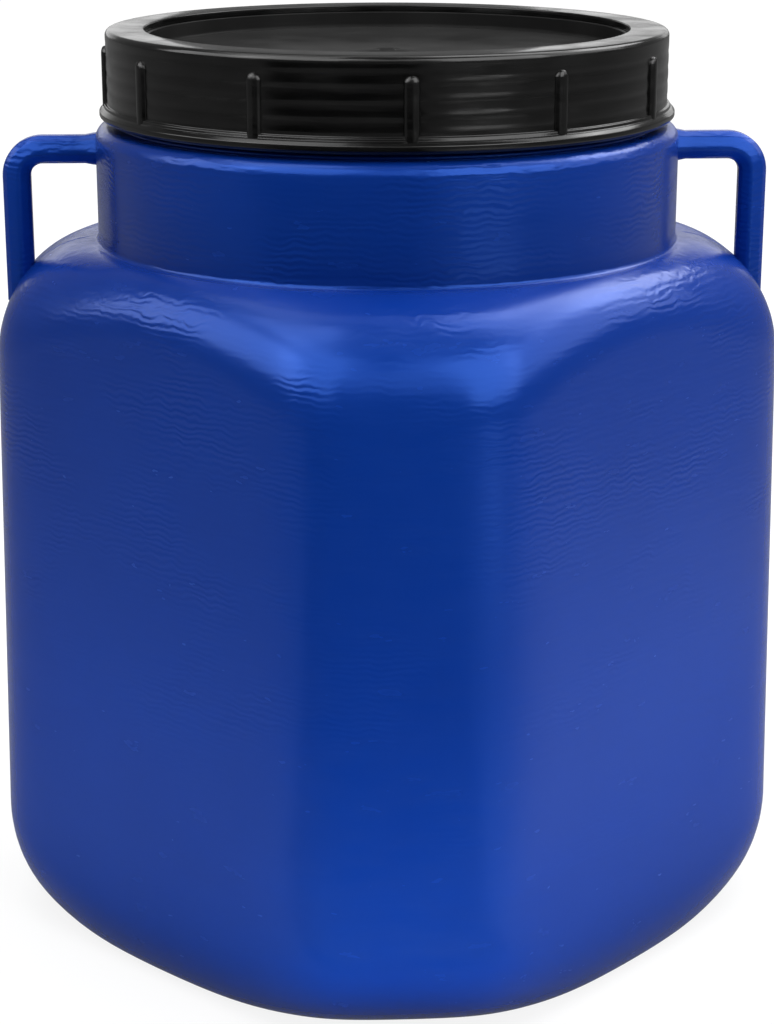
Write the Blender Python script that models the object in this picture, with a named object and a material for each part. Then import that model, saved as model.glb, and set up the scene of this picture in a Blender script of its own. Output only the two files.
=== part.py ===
"""Wide-mouth plastic drum of about 30 litres, closed by a screw ring over an inner lid.

The drum is square with cut-back corners, and narrows through a rounded shoulder to a round collar
and a threaded neck. Its thin-walled body is held as five solids stacked on each other: base, walls,
shoulder, collar and neck. A ribbed ring screws down over the inner lid, which presses a gasket onto
the rim of the neck. Two bar handles lie in the plane of the mould's parting line, the XZ plane.
Metres, +Z up, origin at the centre of the base.
"""

import math

import bmesh
import bpy
from mathutils import Vector

# Gap left between solids that rest on each other
TOUCH_GAP = 0.0003

# Drum walls, measured at the top of the straight part
FACE_HALF = 0.1610
CORNER_HALF = 0.1868
WALL_SHARPNESS = 29
WALL_SPREAD = 0.0048
SHELL_WALL = 0.0034

# Base of the drum
BASE_FACE_INSET = 0.0117
BASE_CORNER_INSET = 0.0374
BASE_SHARPNESS = 12
BASE_ROUND_LEAST = 0.0148
BASE_ROUND_SLOPE = 1.04
BASE_RING_WIDTH = 0.0462
BASE_RECESS_RADIUS = CORNER_HALF + WALL_SPREAD - BASE_CORNER_INSET - BASE_RING_WIDTH
BASE_RECESS_DEPTH = 0.004
BASE_RECESS_RUN = 0.005

# Shoulder, between the walls and the foot of the collar
SHOULDER_TOP = 0.3355
SHOULDER_DROP_LEAST = 0.0073
SHOULDER_DROP_SLOPE = 0.93

# Threaded neck
NECK_RADIUS = 0.1253
NECK_HEIGHT = 0.0351
NECK_WALL = 0.0035
NECK_STEP_WIDTH = 0.0035
NECK_STEP_HEIGHT = 0.0014
THREAD_PITCH = 0.0070
THREAD_HEIGHT = 0.0030
THREAD_ROOT_HALF = 0.0017
THREAD_CREST_HALF = 0.0008
THREAD_SINK = 0.0006
THREAD_RUNOUT = math.radians(24)
NECK_THREAD_TURNS = 3.0
NECK_THREAD_MARGIN = 0.0065
RING_THREAD_TURNS = 2.5

# Collar that carries the neck on its ledge
COLLAR_LEDGE_WIDTH = 0.0129
COLLAR_RADIUS = NECK_RADIUS + COLLAR_LEDGE_WIDTH
COLLAR_HEIGHT = 0.0545
COLLAR_ROUND = 0.0067
COLLAR_FOOT_ROUND = 0.0020

# Gasket on the rim
GASKET_THICKNESS = 0.0025
GASKET_WIDTH = 0.0040

# Inner lid
LID_FLANGE_THICKNESS = 0.0025
LID_FLANGE_MARGIN = 0.0015
LID_WALL = 0.0022
LID_FLOOR_THICKNESS = 0.0024
LID_RECESS_DEPTH = 0.0074
LID_RECESS_ROUND = 0.0015
LID_PLUG_CLEARANCE = 0.0012
LID_PLUG_LENGTH = 0.0140
LID_RECESS_MARGIN = 0.0016

# Screw ring
RING_FLANGE_THICKNESS = 0.0030
RING_LIP_WIDTH = 0.0113
RING_MOUTH_RADIUS = NECK_RADIUS - RING_LIP_WIDTH
RING_LIP_CHAMFER = 0.0004
RING_SKIRT_GAP = 0.0030
RING_WALL = 0.0028
RING_TOP_ROUND = 0.0022
RING_THREAD_CLEARANCE = 0.0012
RING_FOOT_CHAMFER = 0.0013
BEAD_WIDTH = 0.0036
BEAD_HEIGHT = 0.0070
BEAD_STEP_WIDTH = 0.0016
BEAD_STEP_DROP = 0.0007
BEAD_CREST_TOP = 0.0038
BEAD_CREST_FOOT = 0.0018
BEAD_FOOT_CHAMFER = 0.0013
RIB_COUNT = 12
RIB_PHASE = math.radians(1.7)
RIB_WIDTH = 0.0072
RIB_CREST_WIDTH = 0.0052
RIB_HEIGHT = 0.0021
RIB_TOP_MARGIN = 0.0080
RIB_SINK = 0.0008

# Handles, and the section of their bars from the outer to the inner edge
HANDLE_INSET = 0.0040
HANDLE_REACH = CORNER_HALF - HANDLE_INSET
HANDLE_TOP_GAP = 0.0060
HANDLE_BEND_RADIUS = 0.0124
HANDLE_BAR_WIDTH = 0.0132
HANDLE_BAR_DEPTH = 0.0156
HANDLE_EDGE_DEPTH = 0.0095
HANDLE_RIDGE_SHARE = 0.60
HANDLE_OUTER_BEVEL = 0.0018
HANDLE_OUTER_BEVEL_DEPTH = 0.0122
HANDLE_OUTER_END_DEPTH = 0.0057
HANDLE_INNER_BEVEL = 0.0013
HANDLE_INNER_END_DEPTH = 0.0048

# Depth of a quarter rounding's middle, as a share of its radius
ROUND_MIDDLE = 1 - math.sqrt(0.5)

# Edges sharper than this stay sharp, and points nearer than this are one
SHARP_ANGLE = math.radians(35)
MERGE_DISTANCE = 1e-6

# Faces round each turned piece, and steps of its bends
COLUMNS = 64
BEND_STEPS = 6
SHOULDER_STEPS = 7
BASE_STEPS = 6
INNER_STEPS = 4
COLLAR_STEPS = 4
RING_EDGE_STEPS = 3
RIB_TIP_STEPS = 6

# Heights that follow from the sizes above
LEDGE_HEIGHT = SHOULDER_TOP + COLLAR_HEIGHT
RIM_HEIGHT = LEDGE_HEIGHT + NECK_HEIGHT
LID_SEAT = RIM_HEIGHT + TOUCH_GAP + GASKET_THICKNESS + TOUCH_GAP
LID_TOP = LID_SEAT + LID_FLANGE_THICKNESS
RING_SEAT = LID_TOP + TOUCH_GAP
RING_TOP = RING_SEAT + RING_FLANGE_THICKNESS
RING_FOOT = LEDGE_HEIGHT + RING_SKIRT_GAP
RING_BORE = NECK_RADIUS + THREAD_HEIGHT + RING_THREAD_CLEARANCE
RING_RADIUS = RING_BORE + RING_WALL
THREAD_START = RIM_HEIGHT - NECK_THREAD_MARGIN - NECK_THREAD_TURNS * THREAD_PITCH

ANGLES = [math.tau * step / COLUMNS for step in range(COLUMNS)]


def clear_scene():
    for obj in list(bpy.data.objects):
        bpy.data.objects.remove(obj, do_unlink=True)


def plastic(name, colour, roughness):
    material = bpy.data.materials.new(name)
    material.use_nodes = True
    shader = material.node_tree.nodes["Principled BSDF"]
    shader.inputs["Base Color"].default_value = (*colour, 1)
    shader.inputs["Roughness"].default_value = roughness
    shader.inputs["Metallic"].default_value = 0
    return material


def add_object(name, mesh, material, height=0.0):
    """A named object from a finished bmesh, standing at a height on the drum's axis."""
    bmesh.ops.recalc_face_normals(mesh, faces=mesh.faces)
    data = bpy.data.meshes.new(name)
    mesh.to_mesh(data)
    mesh.free()
    data.shade_smooth()
    data.set_sharp_from_angle(angle=SHARP_ANGLE)
    if material:
        data.materials.append(material)
    obj = bpy.data.objects.new(name, data)
    obj.location.z = height
    bpy.context.scene.collection.objects.link(obj)
    return obj


def add_helper(name, mesh, height=0.0):
    """A solid that only joins or cuts another, and is not a piece itself."""
    obj = add_object(name, mesh, None, height)
    obj.hide_render = True
    obj.display_type = "WIRE"
    return obj


def combine(obj, operation, helper):
    modifier = obj.modifiers.new(helper.name, "BOOLEAN")
    modifier.operation = operation
    modifier.solver = "EXACT"
    modifier.object = helper


def add_skin(mesh, rings):
    """Extrudes one closed ring of points through the others, and returns its first and last edges."""
    slot = mesh.verts.layers.int.get("slot") or mesh.verts.layers.int.new("slot")
    corners = [mesh.verts.new(point) for point in rings[0]]
    for index, corner in enumerate(corners):
        corner[slot] = index
    first = [mesh.edges.new((corner, corners[index - 1])) for index, corner in enumerate(corners)]
    last = first
    for ring in rings[1:]:
        grown = bmesh.ops.extrude_edge_only(mesh, edges=last)["geom"]
        last = [item for item in grown if isinstance(item, bmesh.types.BMEdge) and item.is_boundary]
        for vertex in [item for item in grown if isinstance(item, bmesh.types.BMVert)]:
            vertex.co = ring[vertex[slot]]
    return first, last


def close_at_axis(mesh, edges):
    corners = {corner for edge in edges for corner in edge.verts}
    height = next(iter(corners)).co.z
    bmesh.ops.pointmerge(mesh, verts=list(corners), merge_co=(0, 0, height))


def lofted_solid(rings):
    """A solid through the rings, with flat ends."""
    mesh = bmesh.new()
    for edges in add_skin(mesh, rings):
        bmesh.ops.contextual_create(mesh, geom=edges)
    return mesh


def tube_solid(rings):
    """A solid that goes round the axis: through the rings and back to the first."""
    mesh = bmesh.new()
    add_skin(mesh, rings + rings[:1])
    bmesh.ops.remove_doubles(mesh, verts=mesh.verts, dist=MERGE_DISTANCE)
    return mesh


def turned_solid(profile):
    """A solid of revolution; a profile that leaves the axis comes back to it or to its start."""
    mesh = bmesh.new()
    points = [mesh.verts.new((radius, 0, height)) for radius, height in profile]
    edges = [mesh.edges.new(pair) for pair in zip(points, points[1:])]
    if profile[0][0] > 0:
        edges.append(mesh.edges.new((points[-1], points[0])))
    bmesh.ops.spin(
        mesh,
        geom=points + edges,
        cent=(0, 0, 0),
        axis=(0, 0, 1),
        dvec=(0, 0, 0),
        angle=math.tau,
        steps=COLUMNS,
        use_merge=True,
        use_normal_flip=False,
        use_duplicate=False,
    )
    bmesh.ops.remove_doubles(mesh, verts=mesh.verts, dist=MERGE_DISTANCE)
    return mesh


def section_radius(angle, face_half, corner_half, sharpness):
    """Radius of the drum's section: a square with cut corners, softened where its sides meet."""
    total = 0.0
    for side in range(8):
        half = face_half if side % 2 else corner_half
        total += (max(math.cos(angle - side * math.pi / 4), 0) / half) ** sharpness
    return total ** (-1 / sharpness)


def wall_top(angle, shrink=0.0):
    return section_radius(angle, FACE_HALF, CORNER_HALF, WALL_SHARPNESS) - shrink


def wall_foot(angle, shrink=0.0):
    return wall_top(angle, shrink) + WALL_SPREAD


def base_outline(angle, shrink=0.0):
    face = FACE_HALF + WALL_SPREAD - BASE_FACE_INSET
    corner = CORNER_HALF + WALL_SPREAD - BASE_CORNER_INSET
    return section_radius(angle, face, corner, BASE_SHARPNESS) - shrink


def polar_ring(radius_of, height_of):
    ring = []
    for angle in ANGLES:
        radius = radius_of(angle)
        ring.append(Vector((radius * math.cos(angle), radius * math.sin(angle), height_of(angle))))
    return ring


def round_ring(radius, height):
    return polar_ring(lambda angle: radius, lambda angle: height)


def quarter(step, steps):
    """Sine and cosine of the part of a quarter turn reached after this step."""
    turn = math.pi / 2 * step / steps
    return math.sin(turn), math.cos(turn)


def shoulder_ring(step, steps, shrink, grow=0.0):
    """The shoulder bends from the collar's foot to the wall in a quarter of an ellipse."""
    sine, cosine = quarter(step, steps)
    start = COLLAR_RADIUS - shrink

    def radius(angle):
        return start + (wall_top(angle, shrink) - start) * sine + grow

    def height(angle):
        run = wall_top(angle) - COLLAR_RADIUS
        drop = SHOULDER_DROP_LEAST + SHOULDER_DROP_SLOPE * run
        return SHOULDER_TOP - shrink - drop * (1 - cosine) + grow

    return polar_ring(radius, height)


def base_ring(step, steps, shrink):
    """The wall bends into the base in a quarter of an ellipse, largest at the corners."""
    sine, cosine = quarter(step, steps)

    def radius(angle):
        inset = wall_foot(angle) - base_outline(angle)
        return wall_foot(angle, shrink) - inset * (1 - cosine)

    def height(angle):
        inset = wall_foot(angle) - base_outline(angle)
        rise = BASE_ROUND_LEAST + BASE_ROUND_SLOPE * inset
        return shrink + rise * (1 - sine)

    return polar_ring(radius, height)


def collar_rings(radius, top, rounding):
    """The rounded upper edge of the collar, from its ledge down."""
    rings = []
    for step in range(COLLAR_STEPS + 1):
        sine, cosine = quarter(step, COLLAR_STEPS)
        rings.append(round_ring(radius - rounding * (1 - sine), top - rounding * (1 - cosine)))
    return rings


def shoulder_rings(steps, shrink):
    return [shoulder_ring(step, steps, shrink) for step in range(1, steps + 1)]


def base_rings(steps, shrink):
    return [base_ring(step, steps, shrink) for step in range(steps + 1)]


def upper_seam(angle):
    """Where the inner and the outer face of the shell both become a straight wall."""
    run = wall_top(angle) - COLLAR_RADIUS
    return SHOULDER_TOP - SHELL_WALL - SHOULDER_DROP_LEAST - SHOULDER_DROP_SLOPE * run


def lower_seam(angle):
    """Where the inner and the outer face of the shell both begin to bend into the base."""
    inset = wall_foot(angle) - base_outline(angle)
    return SHELL_WALL + BASE_ROUND_LEAST + BASE_ROUND_SLOPE * inset


def wall_ring(radius_of, height_of, shrink, lift=0.0):
    """A ring of the wall's outer or inner face, at a seam."""
    return polar_ring(lambda angle: radius_of(angle, shrink), lambda angle: height_of(angle) + lift)


def base_solid():
    """The floor with its recess, and the rounding up to the walls."""
    recess_floor = BASE_RECESS_RADIUS - BASE_RECESS_RUN
    floor = BASE_RECESS_DEPTH + SHELL_WALL
    rings = [
        round_ring(recess_floor / 2, BASE_RECESS_DEPTH),
        round_ring(recess_floor, BASE_RECESS_DEPTH),
        round_ring(BASE_RECESS_RADIUS, 0.0),
        *base_rings(BASE_STEPS, 0.0)[::-1],
        wall_ring(wall_foot, lower_seam, 0.0),
        wall_ring(wall_foot, lower_seam, SHELL_WALL),
        *base_rings(INNER_STEPS, SHELL_WALL)[1:],
        round_ring(BASE_RECESS_RADIUS + SHELL_WALL, SHELL_WALL),
        round_ring(recess_floor + SHELL_WALL, floor),
        round_ring(recess_floor / 2, floor),
    ]
    mesh = bmesh.new()
    for edges in add_skin(mesh, rings):
        close_at_axis(mesh, edges)
    return mesh


def wall_solid():
    """The broad walls and the cut-back corners, straight from the shoulder to the base."""
    return tube_solid(
        [
            wall_ring(wall_foot, lower_seam, 0.0, TOUCH_GAP),
            wall_ring(wall_top, upper_seam, 0.0),
            wall_ring(wall_top, upper_seam, SHELL_WALL),
            wall_ring(wall_foot, lower_seam, SHELL_WALL, TOUCH_GAP),
        ]
    )


def shoulder_solid():
    """The shoulder, up to the top of the small hollow rounding at the collar's foot."""
    top = SHOULDER_TOP + COLLAR_FOOT_ROUND
    middle = ROUND_MIDDLE * COLLAR_FOOT_ROUND
    return tube_solid(
        [
            wall_ring(wall_top, upper_seam, 0.0, TOUCH_GAP),
            *shoulder_rings(SHOULDER_STEPS, 0.0)[::-1],
            round_ring(COLLAR_RADIUS + middle, SHOULDER_TOP + middle),
            round_ring(COLLAR_RADIUS, top),
            round_ring(COLLAR_RADIUS - SHELL_WALL, top),
            round_ring(COLLAR_RADIUS - SHELL_WALL, SHOULDER_TOP - SHELL_WALL),
            *shoulder_rings(INNER_STEPS, SHELL_WALL)[:-1],
            wall_ring(wall_top, upper_seam, SHELL_WALL, TOUCH_GAP),
        ]
    )


def collar_solid():
    """The round collar, and the ledge that the neck stands on."""
    bore = NECK_RADIUS - NECK_WALL
    inner = COLLAR_RADIUS - SHELL_WALL
    foot = SHOULDER_TOP + COLLAR_FOOT_ROUND + TOUCH_GAP
    return tube_solid(
        [
            round_ring(COLLAR_RADIUS, foot),
            *collar_rings(COLLAR_RADIUS, LEDGE_HEIGHT, COLLAR_ROUND)[::-1],
            round_ring(bore, LEDGE_HEIGHT),
            round_ring(bore, LEDGE_HEIGHT - SHELL_WALL),
            *collar_rings(inner, LEDGE_HEIGHT - SHELL_WALL, COLLAR_ROUND - SHELL_WALL / 2),
            round_ring(inner, foot),
        ]
    )


def neck_solid():
    """The threaded neck, with a low step round its foot."""
    bore = NECK_RADIUS - NECK_WALL
    step_radius = NECK_RADIUS + NECK_STEP_WIDTH
    step_top = LEDGE_HEIGHT + NECK_STEP_HEIGHT
    foot = LEDGE_HEIGHT + TOUCH_GAP
    return tube_solid(
        [
            round_ring(step_radius, foot),
            round_ring(step_radius, step_top),
            round_ring(NECK_RADIUS, step_top),
            round_ring(NECK_RADIUS, RIM_HEIGHT),
            round_ring(bore, RIM_HEIGHT),
            round_ring(bore, foot),
        ]
    )


def thread_ridge(wall_radius, outward, height, turns):
    """A helical ridge on a round wall, running out into it at both ends; it bends midway along the faces."""
    side = 1 if outward else -1
    steps = round(turns * COLUMNS)
    rings = []
    for step in range(steps + 1):
        turned = math.tau * step / COLUMNS
        angle = turned + math.pi / COLUMNS
        ramp = min(turned, math.tau * turns - turned) / THREAD_RUNOUT
        rise = THREAD_HEIGHT * min(ramp, 1) - THREAD_SINK * max(0, 1 - ramp) / 2
        centre = height + THREAD_PITCH * turned / math.tau
        ring = []
        for reach, half in (
            (-THREAD_SINK, -THREAD_ROOT_HALF),
            (rise, -THREAD_CREST_HALF),
            (rise, THREAD_CREST_HALF),
            (-THREAD_SINK, THREAD_ROOT_HALF),
        ):
            radius = wall_radius + side * reach
            ring.append(Vector((radius * math.cos(angle), radius * math.sin(angle), centre + half)))
        rings.append(ring)
    return lofted_solid(rings)


def make_body(material):
    add_object("body_base", base_solid(), material)
    add_object("body_walls", wall_solid(), material)
    add_object("body_shoulder", shoulder_solid(), material)
    add_object("body_collar", collar_solid(), material)
    neck = add_object("body_neck", neck_solid(), material)
    ridge = thread_ridge(NECK_RADIUS, True, THREAD_START, NECK_THREAD_TURNS)
    combine(neck, "UNION", add_helper("neck_thread", ridge))


def make_gasket(material):
    outer = NECK_RADIUS
    inner = outer - GASKET_WIDTH
    profile = [(inner, 0), (outer, 0), (outer, GASKET_THICKNESS), (inner, GASKET_THICKNESS)]
    return add_object("sealing_gasket", turned_solid(profile), material, RIM_HEIGHT + TOUCH_GAP)


def make_inner_lid(material):
    """Origin on the axis, level with the underside of the flange."""
    flange = NECK_RADIUS + THREAD_HEIGHT - LID_FLANGE_MARGIN - RING_THREAD_CLEARANCE
    plug = NECK_RADIUS - NECK_WALL - LID_PLUG_CLEARANCE
    recess = RING_MOUTH_RADIUS - LID_RECESS_MARGIN
    top = LID_FLANGE_THICKNESS
    floor = top - LID_RECESS_DEPTH
    middle = ROUND_MIDDLE * LID_RECESS_ROUND
    profile = [
        (0, floor),
        (recess / 2, floor),
        (recess - LID_RECESS_ROUND, floor),
        (recess - middle, floor + middle),
        (recess, floor + LID_RECESS_ROUND),
        (recess, top),
        (flange, top),
        (flange, 0),
        (plug, 0),
        (plug, -LID_PLUG_LENGTH),
        (plug - LID_WALL, -LID_PLUG_LENGTH),
        (plug - LID_WALL, 0),
        (recess + LID_WALL, 0),
        (recess + LID_WALL, floor - LID_FLOOR_THICKNESS),
        (recess / 2, floor - LID_FLOOR_THICKNESS),
        (0, floor - LID_FLOOR_THICKNESS),
    ]
    return add_object("inner_lid", turned_solid(profile), material, LID_SEAT)


def rib_solids():
    """Upright ribs with round tops, from the wall of the ring outwards, down to the bead."""
    mesh = bmesh.new()
    foot = RING_FOOT + BEAD_HEIGHT / 2 - RING_SEAT
    top = RING_FLANGE_THICKNESS - RIB_TOP_MARGIN
    for index in range(RIB_COUNT):
        angle = RIB_PHASE + math.tau * index / RIB_COUNT
        outward = Vector((math.cos(angle), math.sin(angle), 0))
        across = Vector((-math.sin(angle), math.cos(angle), 0))
        rings = []
        for reach, width in ((-RIB_SINK, RIB_WIDTH), (RIB_HEIGHT, RIB_CREST_WIDTH)):
            half = width / 2
            outline = [(half, foot), (-half, foot)]
            for step in range(RIB_TIP_STEPS + 1):
                turn = math.pi * step / RIB_TIP_STEPS
                outline.append((-half * math.cos(turn), top - RIB_WIDTH / 2 + half * math.sin(turn)))
            start = outward * (RING_RADIUS + reach)
            rings.append([start + across * x + Vector((0, 0, z)) for x, z in outline])
        for edges in add_skin(mesh, rings):
            bmesh.ops.contextual_create(mesh, geom=edges)
    return mesh


def make_screw_ring(material):
    """Origin on the axis, level with the underside of the flange."""
    foot = RING_FOOT - RING_SEAT
    bead_top = foot + BEAD_HEIGHT
    bead = RING_RADIUS + BEAD_WIDTH
    top = RING_FLANGE_THICKNESS
    profile = [
        (RING_MOUTH_RADIUS, 0),
        (RING_MOUTH_RADIUS, top - RING_LIP_CHAMFER),
        (RING_MOUTH_RADIUS + RING_LIP_CHAMFER, top),
    ]
    for step in range(RING_EDGE_STEPS + 1):
        sine, cosine = quarter(step, RING_EDGE_STEPS)
        reach = RING_RADIUS - RING_TOP_ROUND * (1 - sine)
        profile.append((reach, top - RING_TOP_ROUND * (1 - cosine)))
    profile += [
        (RING_RADIUS, bead_top),
        (RING_RADIUS + BEAD_STEP_WIDTH, bead_top - BEAD_STEP_DROP),
        (bead, foot + BEAD_CREST_TOP),
        (bead, foot + BEAD_CREST_FOOT),
        (bead - BEAD_FOOT_CHAMFER, foot),
        (RING_BORE + RING_FOOT_CHAMFER, foot),
        (RING_BORE, foot + RING_FOOT_CHAMFER),
        (RING_BORE, 0),
    ]
    ring = add_object("screw_ring", turned_solid(profile), material, RING_SEAT)
    combine(ring, "UNION", add_helper("ring_ribs", rib_solids(), RING_SEAT))
    start = THREAD_START + THREAD_PITCH / 2 - RING_SEAT
    ridge = thread_ridge(RING_BORE, False, start, RING_THREAD_TURNS)
    combine(ring, "UNION", add_helper("ring_thread", ridge, RING_SEAT))
    return ring


def bar_outline():
    """Section of a handle's bar, as points across its width and to either side of its middle."""
    outer = HANDLE_BAR_WIDTH / 2
    inner = -HANDLE_BAR_WIDTH / 2
    side = [
        (outer, HANDLE_OUTER_END_DEPTH / 2),
        (outer - HANDLE_OUTER_BEVEL, HANDLE_OUTER_BEVEL_DEPTH / 2),
        (outer - HANDLE_RIDGE_SHARE * HANDLE_BAR_WIDTH, HANDLE_BAR_DEPTH / 2),
        (inner + HANDLE_INNER_BEVEL, HANDLE_EDGE_DEPTH / 2),
        (inner, HANDLE_INNER_END_DEPTH / 2),
    ]
    return side + [(across, -deep) for across, deep in reversed(side)]


def handle_rings():
    """The bar runs out from the collar, bends down and ends inside the shoulder."""
    level = LEDGE_HEIGHT - HANDLE_TOP_GAP - HANDLE_BAR_WIDTH / 2
    reach = HANDLE_REACH - HANDLE_BAR_WIDTH / 2
    bend = HANDLE_BEND_RADIUS
    stations = [(COLLAR_RADIUS - SHELL_WALL / 2, level, 0.0)]
    for step in range(BEND_STEPS + 1):
        sine, cosine = quarter(step, BEND_STEPS)
        turn = math.pi / 2 * step / BEND_STEPS
        stations.append((reach - bend * (1 - sine), level - bend * (1 - cosine), turn))
    stations.append((reach, SHOULDER_TOP - (CORNER_HALF - COLLAR_RADIUS), math.pi / 2))
    rings = []
    for x, z, turn in stations:
        outward = Vector((math.sin(turn), 0, math.cos(turn)))
        rings.append(
            [Vector((x, 0, z)) + outward * across + Vector((0, deep, 0)) for across, deep in bar_outline()]
        )
    return rings


def shoulder_cutter():
    """The drum from its collar to its walls, larger by the gap, so that a handle meets it exactly."""
    grow = TOUCH_GAP
    rings = [round_ring(COLLAR_RADIUS + grow, LEDGE_HEIGHT)]
    rings.append(round_ring(COLLAR_RADIUS + grow, SHOULDER_TOP + COLLAR_FOOT_ROUND))
    for step in range(1, SHOULDER_STEPS + 1):
        rings.append(shoulder_ring(step, SHOULDER_STEPS, 0.0, grow))
    rings.append(polar_ring(lambda angle: wall_foot(angle) + grow, lambda angle: SHOULDER_TOP / 2))
    return lofted_solid(rings)


def make_handles(material):
    cutter = add_helper("handle_seat", shoulder_cutter())
    right = add_object("handle_right", lofted_solid(handle_rings()), material)
    left = bpy.data.objects.new("handle_left", right.data)
    left.rotation_euler.z = math.pi
    bpy.context.scene.collection.objects.link(left)
    for handle in (right, left):
        combine(handle, "DIFFERENCE", cutter)


def main():
    clear_scene()
    blue = plastic("blue_polyethylene", (0.010, 0.045, 0.300), 0.38)
    black = plastic("black_polypropylene", (0.012, 0.012, 0.013), 0.33)
    rubber = plastic("grey_rubber", (0.080, 0.080, 0.085), 0.80)
    make_body(blue)
    make_handles(blue)
    closure = bpy.data.objects.new("closure_axis", None)
    bpy.context.scene.collection.objects.link(closure)
    for piece in (make_gasket(rubber), make_inner_lid(black), make_screw_ring(black)):
        piece.parent = closure


main()
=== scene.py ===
"""Dresses a wide-mouth plastic drum: a blow-moulded body with bar handles, under a screw ring.

Every piece is modelled in place in metres, with +Z up and the origin at the centre of the base, and
rides on the body of the model that it belongs to. Run as a script, it builds all pieces in order.
"""

import math

import bmesh
import bpy
from bpy.props import FloatProperty, FloatVectorProperty, IntProperty, PointerProperty
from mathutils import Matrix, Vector


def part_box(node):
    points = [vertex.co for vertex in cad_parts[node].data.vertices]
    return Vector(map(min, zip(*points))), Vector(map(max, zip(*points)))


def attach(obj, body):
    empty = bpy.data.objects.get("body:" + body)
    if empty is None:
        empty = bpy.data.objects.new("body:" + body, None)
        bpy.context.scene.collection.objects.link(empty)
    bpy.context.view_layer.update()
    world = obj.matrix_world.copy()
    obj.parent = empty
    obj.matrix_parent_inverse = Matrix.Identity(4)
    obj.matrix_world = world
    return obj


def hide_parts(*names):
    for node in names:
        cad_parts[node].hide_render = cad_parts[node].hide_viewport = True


bl_info = {
    "name": "Screw-ring drum",
    "version": (1, 0, 0),
    "blender": (4, 5, 0),
    "location": "3D View > Sidebar > Drum",
    "description": "Builds a plastic drum with handles, a threaded neck, an inner lid and a screw ring",
    "category": "Add Mesh",
}

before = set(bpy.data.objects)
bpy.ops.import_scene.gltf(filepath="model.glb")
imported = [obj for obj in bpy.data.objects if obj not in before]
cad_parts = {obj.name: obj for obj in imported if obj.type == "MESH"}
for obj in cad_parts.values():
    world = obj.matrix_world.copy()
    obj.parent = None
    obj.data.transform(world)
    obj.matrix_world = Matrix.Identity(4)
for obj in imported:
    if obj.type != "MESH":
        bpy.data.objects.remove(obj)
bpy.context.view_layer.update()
NECK_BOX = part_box("body_neck")
RING_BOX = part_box("screw_ring")
LID_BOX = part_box("inner_lid")
GASKET_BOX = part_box("sealing_gasket")
HANDLE_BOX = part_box("handle_right")

PHOTO_HEIGHT = 1024
SENSOR_WIDTH = 36
SHARP_EDGE = 38
BODY_NODES = ("body_base", "body_walls", "body_shoulder", "body_collar", "body_neck")

# Lengths in metres
RECESS_SLOPE = 0.005
STEP_REACH = 0.0035
STEP_RISE = 0.0014
STEP_EDGE = 0.0004
STEP_FILLET = 0.0006
RIM_ROUND_OUTSIDE = 0.0010
RIM_ROUND_INSIDE = 0.0008
COLLAR_HOLLOW = 0.005
COLLAR_FOOT_SINK = 0.00012
COLLAR_ROW = 0.006
COLLAR_ROW_INSIDE = 0.008
NECK_ROW = 0.004
NECK_ROW_INSIDE = 0.007
SEAM_SINK = 0.00010
SEAM_HALF_WIDTH = 0.00045
SEAM_HEIGHT = 0.00024
PINCH_LENGTH = 0.184
PINCH_HALF_WIDTH = 0.0011
PINCH_HEIGHT = 0.0007
RIB_ROOT = 0.0009
RIB_SINK = 0.0001
RIB_OVERLAP = 0.0022
FLARE_REACH = 0.004
SINK_FADE_LOW = 0.002
SINK_FADE_HIGH = 0.004
NEAR = 1e-6
ON_WALL = 1e-5

# Rows of faces along the forms, a thread's in one turn, and points in a section
BASE_ROWS, BASE_ROWS_INSIDE = 20, 12
WALL_ROWS, WALL_ROWS_INSIDE = 44, 20
SHOULDER_ROWS, SHOULDER_ROWS_INSIDE = 28, 14
RECESS_ROWS = 8
BAR_ROWS, BEND_ROWS, LEG_ROWS = 8, 16, 24
SKIRT_ROWS = 44
RIB_ROWS, RIB_POINTS = 10, 15
SEAM_POINTS = 8
PINCH_ROWS = 40
THREAD_ROWS = 144

# Shares and turns
FLARE = 0.16
HANDLE_DIP = 0.62
RIB_TIP = 0.03
THREAD_START = math.pi / 64

# Depths of the relief in the materials, in metres
RIPPLE_DEPTH = 0.00012
SWELL_DEPTH = 0.00010
PORE_DEPTH = 0.000006
FLOW_DEPTH = 0.00007
GRAIN_DEPTH = 0.000012
RUBBER_DEPTH = 0.00003

# Shares of light, and the plastic's index of refraction
SURROUND = 0.19
MIRRORED_FLOOR = 0.21
CARD_GLOW = 0.88
CARD_OWN = 0.12
BLUE_GLOSS = 0.85
PLASTIC_IOR = 1.5

# Corners of the dark sheet on the floor that only mirrors see, a painted dark reflection, as X and Y on the
# left and on the right
DARK_REFLECTION_NEAR = ((-0.26, -0.22), (0.12, -0.22))
DARK_REFLECTION_FAR = ((-3.60, -3.0), (0.75, -4.5))
DARK_REFLECTION_HEIGHT = 0.004

FRONT = (0, -0.15, 0.33)
BOTH, MATT, MIRRORED = "both", "matt", "mirrored"

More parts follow.
